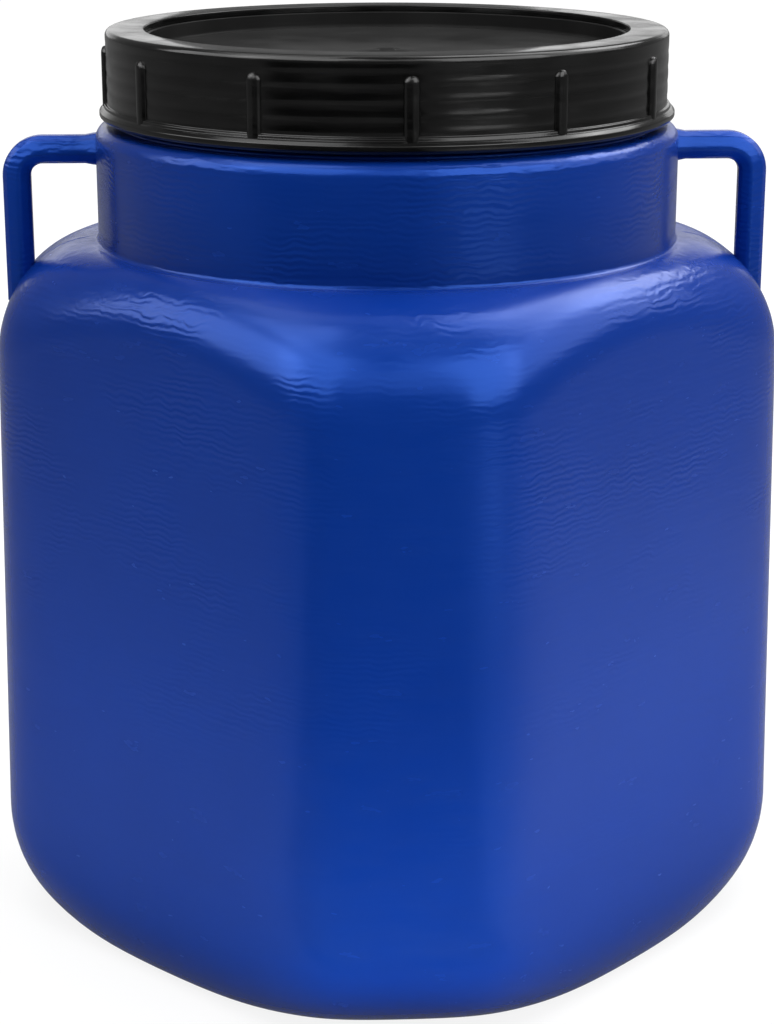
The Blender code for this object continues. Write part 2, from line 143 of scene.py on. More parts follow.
# Name, distance, heading, height, aim, width, depth, radiance and the light that the lamp gives
# A last value turns a lamp that lies on the floor and faces up
LAMPS = (
    ("fill_right", 1.10, -52, 1.05, FRONT, 1.0, 0.85, 1.8, MATT),
    ("fill_left", 1.03, -133, 1.16, FRONT, 0.9, 0.80, 0.55, MATT),
    ("window_right", 1.10, -52, 1.00, FRONT, 1.0, 0.95, 4.4, MIRRORED),
    ("window_left", 1.03, -131, 1.12, FRONT, 1.0, 0.90, 3.8, MIRRORED),
    ("window_mid", 1.20, -92, 1.10, FRONT, 0.6, 0.50, 1.6, MIRRORED),
    ("top_left", 0.69, 196.9, 1.6, (-0.66, -0.20, 0.4), 0.88, 0.50, 3.2, BOTH),
    ("top_right", 0.86, 19.0, 1.6, (0.82, 0.28, 0.4), 0.94, 1.3, 3.2, BOTH),
    ("top_mid", 0.4, 87, 1.6, (0.03, 0.40, 0.4), 0.50, 1.6, 1.4, BOTH),
    ("top_fill", 0.05, 0, 1.6, (0.05, 0, 0.4), 1.6, 1.6, 4.2, MATT),
    ("rim_right", 1.6, 32, 1.64, (0, 0, 0.35), 1.2, 0.7, 5.0, BOTH),
    ("side_right", 1.45, -8, 1.14, FRONT, 1.3, 0.85, 2.3, MIRRORED),
    ("side_left", 1.45, 192, 1.12, FRONT, 1.3, 0.90, 3.6, MIRRORED),
    ("back_right", 2.03, 69, 0.68, (0, 0, 0.42), 0.94, 0.42, 0.90, BOTH),
    ("back_left", 2.00, 108, 0.68, (0, 0, 0.42), 0.94, 0.42, 0.90, BOTH),
    ("low_right", 0.896, -31.9, 0.01, (0.761, -0.473, 1.0), 0.9, 1.1, 0.2, BOTH, 34),
    ("glint_right", 1.51, -55.8, 0.01, (0.85, -1.25, 1.0), 0.6, 0.5, 2.6, BOTH, 36),
    ("low_front", 0.27, -90, 0.01, (0, -0.27, 1.0), 0.5, 0.10, 4.0, MATT, 0.01),
    ("low_side", 0.28, -45, 0.01, (0.20, -0.20, 1.0), 0.4, 0.10, 5.0, MATT, 45),
    ("low_far", 0.28, -135, 0.01, (-0.20, -0.20, 1.0), 0.4, 0.10, 3.4, MATT, -45),
)


def number(name, default, least, description, **more):
    return FloatProperty(name=name, description=description, default=default, min=least, **more)


def length(name, default, description):
    return number(name, default, 0, description, subtype="DISTANCE", unit="LENGTH")


def share(name, default, description):
    return number(name, default, 0, description, max=1, subtype="FACTOR")


def angle(name, degrees, description):
    turn = math.radians(degrees)
    return FloatProperty(name=name, description=description, default=turn, subtype="ANGLE", unit="ROTATION")


def colour(name, default, description):
    limits = {"min": 0, "max": 1, "size": 3}
    return FloatVectorProperty(name=name, description=description, default=default, subtype="COLOR", **limits)


def count(name, default, description):
    return IntProperty(name=name, description=description, default=default, min=1)


class DrumBodySizes(bpy.types.PropertyGroup):
    face_half: length("Face half width", 0.1610, "From the axis to a broad wall, under the shoulder")
    corner_half: length("Corner half width", 0.1868, "From the axis to a cut-back corner, under the shoulder")
    sharpness: number("Edge sharpness", 29, 4, "How tightly broad walls turn into corners")
    spread: length("Wall spread", 0.0046, "How far the walls lean outwards on their way down")
    wall: length("Wall", 0.0034, "Thickness of the blown wall")
    base_face_inset: length("Base inset at faces", 0.0117, "How far the base lies inside the broad walls")
    base_corner_inset: length("Base inset at corners", 0.0374, "How far the base lies inside the corners")
    base_sharpness: number("Base sharpness", 12, 4, "Edge sharpness of the base outline")
    base_round: length("Least base rounding", 0.0148, "Height of the rounding where the inset is nil")
    base_slope: number("Base rounding slope", 1.04, 0, "Height that the rounding gains with the inset")
    recess_radius: length("Recess radius", 0.1080, "Radius of the push-up in the base")
    recess_depth: length("Recess depth", 0.0040, "Depth of the push-up in the base")
    shoulder_top: length("Shoulder top", 0.3355, "Height of the collar's foot")
    shoulder_round: length("Least shoulder drop", 0.0073, "Drop of the shoulder where its reach is nil")
    shoulder_slope: share("Shoulder slope", 0.93, "Drop that the shoulder gains with its reach")
    collar_radius: length("Collar radius", 0.1382, "Radius of the round collar")
    collar_top: length("Collar top", 0.3900, "Height of the ledge on the collar")
    collar_round: length("Collar rounding", 0.0067, "Rounding of the collar's upper edge")
    collar_fillet: length("Collar foot fillet", 0.0022, "Hollow rounding at the collar's foot")
    neck_radius: length("Neck radius", 0.1253, "Outside of the neck, without its thread")
    neck_wall: length("Neck wall", 0.0035, "Thickness of the neck")
    rim_height: length("Rim height", NECK_BOX[1].z, "Height of the rim of the neck")
    columns: count("Columns", 288, "Faces round the body")


class ThreadSizes(bpy.types.PropertyGroup):
    pitch: length("Pitch", 0.0070, "Rise of the thread in one turn")
    height: length("Height", 0.0030, "How far the ridge stands off its wall")
    root_half: length("Half width at the wall", 0.0017, "Half the width of the ridge at its foot")
    crest_half: length("Half width at the crest", 0.0008, "Half the width of the ridge at its crest")
    sink: length("Sink", 0.0006, "How deep the ridge is rooted in its wall")
    runout: angle("Run-out", 24, "Turn over which an end of the ridge fades out")
    neck_turns: number("Neck turns", 3.0, 1, "Turns of the ridge on the neck")
    ring_turns: number("Ring turns", 2.5, 1, "Turns of the ridge in the ring")
    margin: length("Margin", 0.0065, "From the rim down to the upper end of the neck's ridge")


class HandleSizes(bpy.types.PropertyGroup):
    reach: length("Reach", HANDLE_BOX[1].x, "From the axis to the outside of the bar")
    top: length("Top", HANDLE_BOX[1].z, "Height of the upper side of the bar")
    width: length("Width", 0.0132, "Width of the bar, seen along the loop's axis")
    depth: length("Depth", 0.0156, "Thickness of the bar at its crease")
    outer_depth: length("Outer edge", 0.0095, "Thickness of the bar near its outer edge")
    inner_depth: length("Inner edge", 0.0075, "Thickness of the bar near its inner edge")
    crease: share("Crease place", 0.60, "Place of the crease, from the outer edge")
    bend: length("Bend radius", 0.0124, "Radius of the bend in the middle of the bar")


class ScrewRingSizes(bpy.types.PropertyGroup):
    mouth: length("Mouth", 0.1140, "Radius of the opening in the ring")
    radius: length("Radius", 0.1323, "Outside of the skirt, without its ribs")
    bore: length("Bore", 0.1295, "Inside of the skirt, without its thread")
    flange: length("Flange", 0.0030, "Thickness of the flange over the lid")
    edge_round: length("Upper rounding", 0.0026, "Rounding between the flange and the skirt")
    bead: length("Bead", 0.0036, "How far the bead at the foot stands out")
    bead_height: length("Bead height", 0.0070, "Height of the bead")
    rib_width: length("Rib width", 0.0072, "Width of a grip rib")
    rib_height: length("Rib height", 0.0021, "How far a grip rib stands out")
    rib_margin: length("Rib margin", 0.0080, "From the top of the ring to the top of a rib")
    rib_phase: angle("Rib phase", 1.7, "Place of the first rib")
    ribs: count("Ribs", 12, "Number of grip ribs")
    sink_depth: length("Sink marks", 0.00016, "Depth of the sink marks over the thread")
    columns: count("Columns", 240, "Faces round the ring")


class InnerLidSizes(bpy.types.PropertyGroup):
    recess_radius: length("Recess radius", 0.1124, "Radius of the recess")
    recess_depth: length("Recess depth", 0.0074, "Depth of the recess under the flange's top")
    recess_round: length("Recess rounding", 0.0015, "Rounding at the recess floor's edge")
    flange: length("Flange", 0.0025, "Thickness of the flange")
    wall: length("Wall", 0.0022, "Thickness of the upright walls")
    floor: length("Floor", 0.0024, "Thickness of the floor")
    plug_radius: length("Plug radius", 0.1206, "Outside of the skirt in the neck")


class GasketSizes(bpy.types.PropertyGroup):
    width: length("Width", 0.0040, "Width of the flat ring")
    edge: length("Edge rounding", 0.0006, "Rounding of its edges")


class Finishes(bpy.types.PropertyGroup):
    blue: colour("Blue", (0.0016, 0.0235, 0.1950), "Colour of the body and handles")
    blue_deep: colour("Deep blue", (0.0015, 0.0210, 0.1780), "Darker blue of the slight clouding")
    blue_gloss: colour("Blue gloss", (0.1000, 0.2700, 1.0000), "Tint of what the blue plastic mirrors")
    blue_rough: share("Blue roughness", 0.235, "Roughness of the blue plastic")
    black: colour("Black", (0.0018, 0.0018, 0.0018), "Colour of the ring")
    black_gloss: share("Black gloss", 0.36, "Strength of what the black plastic mirrors")
    black_rough: share("Black roughness", 0.17, "Roughness of the black plastic")
    lid_black: colour("Lid black", (0.0105, 0.0105, 0.0105), "Colour of the inner lid")
    lid_gloss: share("Lid gloss", 0.01, "Strength of what the inner lid mirrors")
    lid_rough: share("Lid roughness", 0.13, "Roughness of the inner lid")
    rubber: colour("Rubber", (0.0800, 0.0800, 0.0850), "Colour of the gasket")


class StudioSizes(bpy.types.PropertyGroup):
    floor_half: length("Floor half width", 24.0, "Half the width of the floor")
    camera_distance: length("Camera distance", 1.1480, "From the axis to the camera, along the floor")
    camera_height: length("Camera height", 0.5418, "Height of the camera")
    camera_heading: angle("Camera heading", -92.85, "Direction from the axis to the camera")
    camera_pitch: angle("Camera pitch", 16.81, "How far the camera looks down")
    focal_pixels: number("Focal length", 2400, 1, "Focal length in pixels of the picture")


GROUPS = {
    "drum_body": DrumBodySizes,
    "drum_thread": ThreadSizes,
    "drum_handles": HandleSizes,
    "drum_ring": ScrewRingSizes,
    "drum_lid": InnerLidSizes,
    "drum_gasket": GasketSizes,
    "drum_finish": Finishes,
    "drum_studio": StudioSizes,
}


# Modelling helpers


def quarter(part):
    """Sine and cosine of a share of a quarter turn."""
    turn = math.pi / 2 * part
    return math.sin(turn), math.cos(turn)


def parts(steps, first=0):
    """Even shares up to 1."""
    return [step / steps for step in range(first, steps + 1)]


def quarters(steps, first=0):
    """Sines and cosines at even steps along a quarter turn."""
    return [quarter(part) for part in parts(steps, first)]


def polar(radius, turn, height):
    return Vector((radius * math.cos(turn), radius * math.sin(turn), height))


def smooth_step(value):
    value = min(max(value, 0.0), 1.0)
    return value * value * (3 - 2 * value)


def rounded(corners, steps=5):
    """Points along an outline whose corners, given as (r, z, rounding), are rounded off."""
    outline = []
    for index, (r, z, rounding) in enumerate(corners):
        here = Vector((r, z))
        if rounding <= 0:
            outline.append(here)
            continue
        before = (Vector(corners[index - 1][:2]) - here).normalized()
        after = (Vector(corners[(index + 1) % len(corners)][:2]) - here).normalized()
        half = before.angle(after) / 2
        reach = rounding / math.tan(half)
        centre = here + (before + after).normalized() * rounding / math.sin(half)
        start = here + before * reach - centre
        sweep = math.pi - 2 * half
        end = here + after * reach - centre
        side = 1 if start.x * end.y - start.y * end.x > 0 else -1
        for step in range(steps + 1):
            turn = side * sweep * step / steps
            sine, cosine = math.sin(turn), math.cos(turn)
            arm = Vector((start.x * cosine - start.y * sine, start.x * sine + start.y * cosine))
            outline.append(centre + arm)
    return outline


def divided(start, end, steps):
    """Points between two ends of a straight stretch, without the ends."""
    return [start.lerp(end, step / steps) for step in range(1, steps)]


def spun(outline, columns, on_axis=False):
    """A mesh turned about the axis from an outline of (r, z) points, open on the axis or closed on itself."""
    mesh = bmesh.new()
    corners = [mesh.verts.new((point.x, 0, point.y)) for point in outline]
    edges = [mesh.edges.new(pair) for pair in zip(corners, corners[1:])]
    if not on_axis:
        edges.append(mesh.edges.new((corners[-1], corners[0])))
    turning = {"axis": (0, 0, 1), "angle": math.tau, "steps": columns, "use_merge": True}
    bmesh.ops.spin(mesh, geom=corners + edges, **turning)
    bmesh.ops.remove_doubles(mesh, verts=mesh.verts, dist=NEAR)
    bmesh.ops.recalc_face_normals(mesh, faces=mesh.faces)
    return mesh


def grow(mesh, loop):
    """Extrudes a loop of edges, and gives the new loop and its corners."""
    grown = bmesh.ops.extrude_edge_only(mesh, edges=loop)["geom"]
    edges = [item for item in grown if isinstance(item, bmesh.types.BMEdge) and item.is_boundary]
    corners = [item for item in grown if isinstance(item, bmesh.types.BMVert)]
    return edges, corners


def loft_round(stations, columns):
    """A skin that closes on the axis, through rules that give a radius and a height at an angle."""
    mesh = bmesh.new()
    corners = bmesh.ops.create_circle(mesh, cap_ends=False, segments=columns, radius=1)["verts"]
    first = loop = list(mesh.edges)
    for index, station in enumerate(stations):
        if index:
            loop, corners = grow(mesh, loop)
        for corner in corners:
            turn = math.atan2(corner.co.y, corner.co.x)
            radius, height = station(turn)
            corner.co = polar(radius, turn, height)
    for edges in (first, loop):
        ends = {corner for edge in edges for corner in edge.verts}
        height = next(iter(ends)).co.z
        bmesh.ops.pointmerge(mesh, verts=list(ends), merge_co=(0, 0, height))
    bmesh.ops.recalc_face_normals(mesh, faces=mesh.faces)
    return mesh


def swept(sections):
    """A bar with closed ends through sections, each a ring with the same number of points."""
    mesh = bmesh.new()
    slot = mesh.verts.layers.int.new("slot")
    corners = bmesh.ops.create_circle(mesh, cap_ends=False, segments=len(sections[0]), radius=1)["verts"]
    for index, corner in enumerate(corners):
        corner[slot] = index
        corner.co = sections[0][index]
    first = loop = list(mesh.edges)
    for section in sections[1:]:
        loop, corners = grow(mesh, loop)
        for corner in corners:
            corner.co = section[corner[slot]]
    for edges in (first, loop):
        bmesh.ops.contextual_create(mesh, geom=edges)
    bmesh.ops.recalc_face_normals(mesh, faces=mesh.faces)
    if mesh.calc_volume(signed=True) < 0:
        bmesh.ops.reverse_faces(mesh, faces=mesh.faces)
    return mesh


def joined(meshes):
    """One mesh out of several."""
    whole = bmesh.new()
    for mesh in meshes:
        data = bpy.data.meshes.new("joined")
        mesh.to_mesh(data)
        mesh.free()
        whole.from_mesh(data)
        bpy.data.meshes.remove(data)
    return whole


def placed(name, mesh, material):
    """An object in the scene, from a finished mesh."""
    data = bpy.data.meshes.new(name)
    mesh.to_mesh(data)
    mesh.free()
    data.materials.append(material)
    thing = bpy.data.objects.new(name, data)
    bpy.context.scene.collection.objects.link(thing)
    return thing


def add_piece(name, mesh, material, body, stands_for=()):
    """Places a mesh, smooth but for its sharp edges, and fixes it to its body."""
    piece = placed(name, mesh, material)
    piece.data.shade_smooth()
    piece.data.set_sharp_from_angle(angle=math.radians(SHARP_EDGE))
    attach(piece, body)
    if stands_for:
        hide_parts(*stands_for)
    return piece


# Materials: scales of noise are per metre, and depths of relief in metres


class Nodes:
    """A material's or world's node tree, with short ways to add and join nodes."""

    def __init__(self, tree):
        self.tree = tree

    def add(self, kind, settings=None, **inputs):
        node = self.tree.nodes.new("ShaderNode" + kind)
        for key, value in (settings or {}).items():
            setattr(node, key, value)
        self.fill(node, **inputs)
        return node

    def fill(self, node, **inputs):
        for key, value in inputs.items():
            self.join(value, node.inputs[key.replace("_", " ")])

    def join(self, value, socket):
        """Links a socket to an input, or gives the input a value of its own."""
        if isinstance(value, bpy.types.NodeSocket):
            self.tree.links.new(value, socket)
        else:
            socket.default_value = value

    def ramp(self, factor, stops):
        node = self.add("ValToRGB", Fac=factor)
        while len(node.color_ramp.elements) < len(stops):
            node.color_ramp.elements.new(0.5)
        for element, (place, value) in zip(node.color_ramp.elements, stops):
            element.position = place
            element.color = (*value, 1) if isinstance(value, tuple) else (value, value, value, 1)
        return node.outputs["Color"]

    def noise(self, place, scale, stretch=(1, 1, 1), detail=3.0, distortion=0.0):
        mapped = self.add("Mapping", Vector=place, Scale=tuple(scale * part for part in stretch))
        node = self.add(
            "TexNoise", Vector=mapped.outputs["Vector"], Scale=1.0, Detail=detail, Distortion=distortion
        )
        return node.outputs["Fac"]

    def waves(self, place, scale, distortion, detail_scale):
        """Wavy level lines, more or less evenly spaced in height."""
        node = self.add(
            "TexWave",
            {"wave_type": "BANDS", "bands_direction": "Z", "wave_profile": "SIN"},
            Vector=place,
            Scale=scale,
            Distortion=distortion,
            Detail=2.0,
            Detail_Scale=detail_scale,
        )
        return node.outputs["Fac"]

    def math(self, operation, first, second=0.0):
        node = self.add("Math", {"operation": operation})
        for socket, value in zip(node.inputs, (first, second)):
            self.join(value, socket)
        return node.outputs["Value"]

    def spread(self, value, low, high, to_low=0.0, to_high=1.0):
        node = self.add("MapRange", {"clamp": True}, Value=value)
        for socket, limit in zip(node.inputs[1:5], (low, high, to_low, to_high)):
            self.join(limit, socket)
        return node.outputs["Result"]

    def bump(self, height, distance, **normal):
        return self.add("Bump", Height=height, Distance=distance, **normal).outputs["Normal"]


def new_material(name):
    material = bpy.data.materials.get(name)
    if material:
        return material, None, None
    material = bpy.data.materials.new(name)
    material.use_nodes = True
    nodes = Nodes(material.node_tree)
    return material, nodes, material.node_tree.nodes["Principled BSDF"]


def blue_polyethylene(finish):
    """Blown polyethylene: slightly clouded, with fine wavy ripples that come and go, and a soft gloss."""
    material, nodes, shader = new_material("blue_polyethylene")
    if not nodes:
        return material
    place = nodes.add("TexCoord").outputs["Object"]
    height = nodes.add("SeparateXYZ", Vector=place).outputs["Z"]

    clouds = nodes.noise(place, 9.0, detail=2.0)
    tint = nodes.ramp(clouds, [(0.35, tuple(finish.blue)), (0.70, tuple(finish.blue_deep))])

    ripples = nodes.waves(place, 110.0, 7.0, 0.9)
    swells = nodes.noise(place, 1.0, (26, 26, 210), detail=1.5)
    pores = nodes.noise(place, 1500.0, detail=2.0)
    patches = nodes.spread(nodes.noise(place, 16.0, (1, 1, 1.6), detail=2.0), 0.45, 0.68)
    upper = nodes.spread(height, 0.12, 0.33, 0.15, 1.0)
    strength = nodes.math("MULTIPLY", nodes.math("ADD", patches, 0.12), upper)
    relief = nodes.math("MULTIPLY", ripples, strength)
    surface = nodes.bump(relief, RIPPLE_DEPTH)
    surface = nodes.bump(swells, SWELL_DEPTH, Normal=surface)
    surface = nodes.bump(pores, PORE_DEPTH, Normal=surface)

    dull = nodes.noise(place, 60.0, (1, 1, 3), detail=3.0)
    rough = nodes.spread(dull, 0.3, 0.7, finish.blue_rough - 0.03, finish.blue_rough + 0.04)
    nodes.fill(shader, Base_Color=tint, Normal=surface, Roughness=rough, IOR=PLASTIC_IOR)
    nodes.fill(shader, Specular_IOR_Level=BLUE_GLOSS, Specular_Tint=(*finish.blue_gloss, 1))
    return material


def black_plastic(name, black, gloss, black_rough):
    """Moulded black plastic: glossy, with flow marks round the ring and a few dull scuffs."""
    material, nodes, shader = new_material(name)
    if not nodes:
        return material
    place = nodes.add("TexCoord").outputs["Object"]
    clouds = nodes.noise(place, 30.0, detail=3.0)
    shade = tuple(1.5 * part for part in black)
    tint = nodes.ramp(clouds, [(0.35, tuple(black)), (0.75, shade)])

    flow = nodes.noise(place, 1.0, (22, 22, 420), detail=2.0, distortion=0.2)
    grain = nodes.noise(place, 900.0, detail=2.0)
    surface = nodes.bump(flow, FLOW_DEPTH)
    surface = nodes.bump(grain, GRAIN_DEPTH, Normal=surface)

    scuffs = nodes.noise(place, 1.0, (45, 45, 160), detail=4.0)
    rough = nodes.spread(scuffs, 0.35, 0.70, black_rough - 0.05, black_rough + 0.10)
    nodes.fill(shader, Base_Color=tint, Normal=surface, Roughness=rough, IOR=PLASTIC_IOR)
    nodes.fill(shader, Specular_IOR_Level=gloss)
    return material


def gasket_rubber(finish):
    """Soft grey rubber with a fine grain and a trace of mould powder."""
    material, nodes, shader = new_material("soft_gasket_rubber")
    if not nodes:
        return material
    place = nodes.add("TexCoord").outputs["Object"]
    powder = nodes.noise(place, 250.0, detail=4.0)
    shade = tuple(1.4 * part for part in finish.rubber)
    tint = nodes.ramp(powder, [(0.40, tuple(finish.rubber)), (0.80, shade)])
    surface = nodes.bump(nodes.noise(place, 1800.0, detail=2.0), RUBBER_DEPTH)
    rough = nodes.spread(powder, 0.3, 0.7, 0.72, 0.85)
    nodes.fill(shader, Base_Color=tint, Normal=surface, Roughness=rough)
    return material


def studio_white():
    """White card: the camera sees it evenly white, mirrors see it with a dimmer glow, and it still takes
    shadows near the object.
    """
    material, nodes, shader = new_material("studio_white")
    if not nodes:
        return material
    nodes.tree.nodes.remove(shader)
    link = nodes.tree.links.new
    ray = nodes.add("LightPath")
    seen = nodes.math("MAXIMUM", ray.outputs["Is Camera Ray"], ray.outputs["Is Glossy Ray"])
    seen = nodes.math("MAXIMUM", seen, ray.outputs["Is Transmission Ray"])
    place = nodes.add("TexCoord").outputs["Object"]
    card = nodes.noise(place, 3.0, detail=2.0)
    paper = nodes.ramp(card, [(0.3, CARD_OWN), (0.7, CARD_OWN * 0.985)])
    matt = nodes.add("BsdfDiffuse", Color=paper)
    plain = nodes.add("BsdfDiffuse", Color=(0.85, 0.85, 0.85, 1))
    away = nodes.add("VectorMath", {"operation": "LENGTH"}, Vector=place)
    strength = nodes.spread(away.outputs["Value"], 0.22, 0.45, CARD_GLOW, 1.0)
    share_seen = nodes.spread(ray.outputs["Is Glossy Ray"], 0, 1, 1.0, MIRRORED_FLOOR)
    glow = nodes.add("Emission", Color=(1, 1, 1, 1), Strength=nodes.math("MULTIPLY", strength, share_seen))
    lit = nodes.add("AddShader")
    link(matt.outputs[0], lit.inputs[0])
    link(glow.outputs[0], lit.inputs[1])
    mixed = nodes.add("MixShader", Fac=seen)
    link(plain.outputs[0], mixed.inputs[1])
    link(lit.outputs[0], mixed.inputs[2])
    link(mixed.outputs[0], nodes.tree.nodes["Material Output"].inputs["Surface"])
    return material


# The body's form


def section(turn, face_half, corner_half, sharpness):
    """Radius of a square with cut corners at an angle; the corners face along X and Y."""
    total = 0.0
    for side in range(8):
        half = face_half if side % 2 else corner_half
        total += (max(math.cos(turn - side * math.pi / 4), 0) / half) ** sharpness
    return total ** (-1 / sharpness)


def level(radius, height):
    """The rule of a round level: the same radius and height at each angle."""
    return lambda turn: (radius, height)


def upper_edge(radius, height, rounding, steps):
    """Round levels over a rounded edge, from the wall to the top."""
    drops = [(rounding * (1 - cosine), rounding * (1 - sine)) for sine, cosine in quarters(steps)]
    return [level(radius - inward, height - down) for inward, down in drops]


def hollow(radius, height, across, rise, steps, first=0):
    """Round levels along a hollow rounding, from its flat side to its wall."""
    moves = [(across * (1 - sine), rise * (1 - cosine)) for sine, cosine in quarters(steps, first)]
    return [level(radius + aside, height + up) for aside, up in moves]


class BodyForm:
    """The rules that give the radius and height of the body's skin at an angle."""

    def __init__(self, sizes):
        self.sizes = sizes

    def top(self, turn):
        s = self.sizes
        return section(turn, s.face_half, s.corner_half, s.sharpness)

    def foot(self, turn):
        return self.top(turn) + self.sizes.spread

    def inset(self, turn):
        s = self.sizes
        face = s.face_half + s.spread - s.base_face_inset
        corner = s.corner_half + s.spread - s.base_corner_inset
        return self.foot(turn) - section(turn, face, corner, s.base_sharpness)

    def rise(self, turn):
        s = self.sizes
        return s.base_round + s.base_slope * self.inset(turn)

    def drop(self, turn):
        s = self.sizes
        return s.shoulder_round + s.shoulder_slope * (self.top(turn) - s.collar_radius)

    def shoulder(self, part, inner=0.0):
        s = self.sizes
        sine, cosine = quarter(part)

        def station(turn):
            start = s.collar_radius - inner
            radius = start + (self.top(turn) - inner - start) * sine
            return radius, s.shoulder_top - inner - self.drop(turn) * (1 - cosine)

        return station

    def wall(self, part, inner=0.0):
        s = self.sizes

        def station(turn):
            upper = s.shoulder_top - inner - self.drop(turn)
            lower = inner + self.rise(turn)
            return self.top(turn) - inner + s.spread * part, upper + (lower - upper) * part

        return station

    def base(self, part, inner=0.0):
        sine, cosine = quarter(part)

        def station(turn):
            radius = self.foot(turn) - inner - self.inset(turn) * (1 - cosine)
            return radius, inner + self.rise(turn) * (1 - sine)

        return station

    def outside(self):
        """From the middle of the base to the rim of the neck."""
        s = self.sizes
        floor = s.recess_radius - RECESS_SLOPE
        stations = [level(floor * part / 6, s.recess_depth) for part in range(1, 6)]
        for part in parts(RECESS_ROWS):
            height = s.recess_depth * (1 - smooth_step(part))
            stations.append(level(floor + (s.recess_radius - floor) * part, height))
        stations += [self.foot_band(part) for part in (0.25, 0.5, 0.75)]
        stations += [self.base(1 - step / BASE_ROWS) for step in range(BASE_ROWS)]
        stations += [self.wall(1 - step / WALL_ROWS) for step in range(WALL_ROWS)]
        stations += [self.shoulder(1 - step / SHOULDER_ROWS) for step in range(SHOULDER_ROWS)]
        foot, fillet = s.shoulder_top - COLLAR_FOOT_SINK, s.collar_fillet
        stations += hollow(s.collar_radius, foot, fillet, fillet, 5)
        stations += [level(s.collar_radius, s.shoulder_top + COLLAR_ROW * step) for step in range(1, 8)]
        stations += upper_edge(s.collar_radius, s.collar_top, s.collar_round, 10)
        step_radius = s.neck_radius + STEP_REACH
        step_top = s.collar_top + STEP_RISE
        stations += [
            level(step_radius + STEP_FILLET, s.collar_top),
            level(step_radius, s.collar_top + STEP_EDGE),
            level(step_radius, step_top - STEP_EDGE),
            level(step_radius - STEP_EDGE, step_top),
            level(s.neck_radius + STEP_FILLET, step_top),
            level(s.neck_radius, step_top + STEP_FILLET),
        ]
        stations += [level(s.neck_radius, step_top + NECK_ROW * step) for step in range(1, 8)]
        return stations + upper_edge(s.neck_radius, s.rim_height, RIM_ROUND_OUTSIDE, 4)

    def foot_band(self, part):
        """The flat standing face, at a share of the way from the recess to the base's rounding."""
        recess = self.sizes.recess_radius
        outline = self.base(1)
        return lambda turn: (recess + (outline(turn)[0] - recess) * part, 0)

    def inside(self):
        """From the rim down to the middle of the floor."""
        s = self.sizes
        bore = s.neck_radius - s.neck_wall
        ledge = s.collar_top - s.wall
        collar = s.collar_radius - s.wall
        stations = hollow(bore, s.rim_height, RIM_ROUND_INSIDE, -RIM_ROUND_INSIDE, 3)
        stations += [level(bore, s.rim_height - NECK_ROW_INSIDE * step) for step in range(1, 6)]
        stations += hollow(collar, ledge, -COLLAR_HOLLOW, -COLLAR_HOLLOW, 6, 1)
        stations += [level(collar, ledge - COLLAR_ROW_INSIDE * step) for step in range(1, 6)]
        stations += [self.shoulder(part, s.wall) for part in parts(SHOULDER_ROWS_INSIDE, 1)]
        stations += [self.wall(part, s.wall) for part in parts(WALL_ROWS_INSIDE, 1)]
        stations += [self.base(part, s.wall) for part in parts(BASE_ROWS_INSIDE, 1)]
        floor = s.recess_radius - RECESS_SLOPE + s.wall
        stations += [
            level(s.recess_radius + s.wall, s.wall),
            level(floor, s.recess_depth + s.wall),
            level(floor * 0.6, s.recess_depth + s.wall),
            level(floor * 0.3, s.recess_depth + s.wall),
        ]
        return stations


def thread_ridge(thread, wall_radius, outward, height, turns):
    """A helical ridge on a round wall that runs out at both ends."""
    side = 1 if outward else -1
    sections = []
    for step in range(round(turns * THREAD_ROWS) + 1):
        turned = math.tau * step / THREAD_ROWS
        ramp = min(turned, math.tau * turns - turned) / thread.runout
        rise = thread.height * smooth_step(ramp) - thread.sink / 2 * (1 - smooth_step(ramp))
        centre = height + thread.pitch * turned / math.tau
        upper = [
            (rise, thread.crest_half * 0.6),
            (rise * 0.92, thread.crest_half * 1.05),
            (rise * 0.5 - thread.sink * 0.5, (thread.root_half + thread.crest_half) / 2),
            (-thread.sink, thread.root_half),
        ]
        shape = [(reach, -z) for reach, z in reversed(upper)] + upper
        turn = turned + THREAD_START
        sections.append([polar(wall_radius + side * reach, turn, centre + z) for reach, z in shape])
    return swept(sections)


def seam(path, across, half_width, height):
    """A low rounded ridge along a path of (point, outward direction) pairs."""
    sections = []
    last = len(path) - 1
    for index, (point, outward) in enumerate(path):
        fade = smooth_step(min(index, last - index) / 3)
        shape = []
        for step in range(SEAM_POINTS):
            turn = math.tau * step / SEAM_POINTS
            aside = across * half_width * math.cos(turn)
            shape.append(point + aside + outward * height * fade * math.sin(turn))
        sections.append(shape)
    return swept(sections)


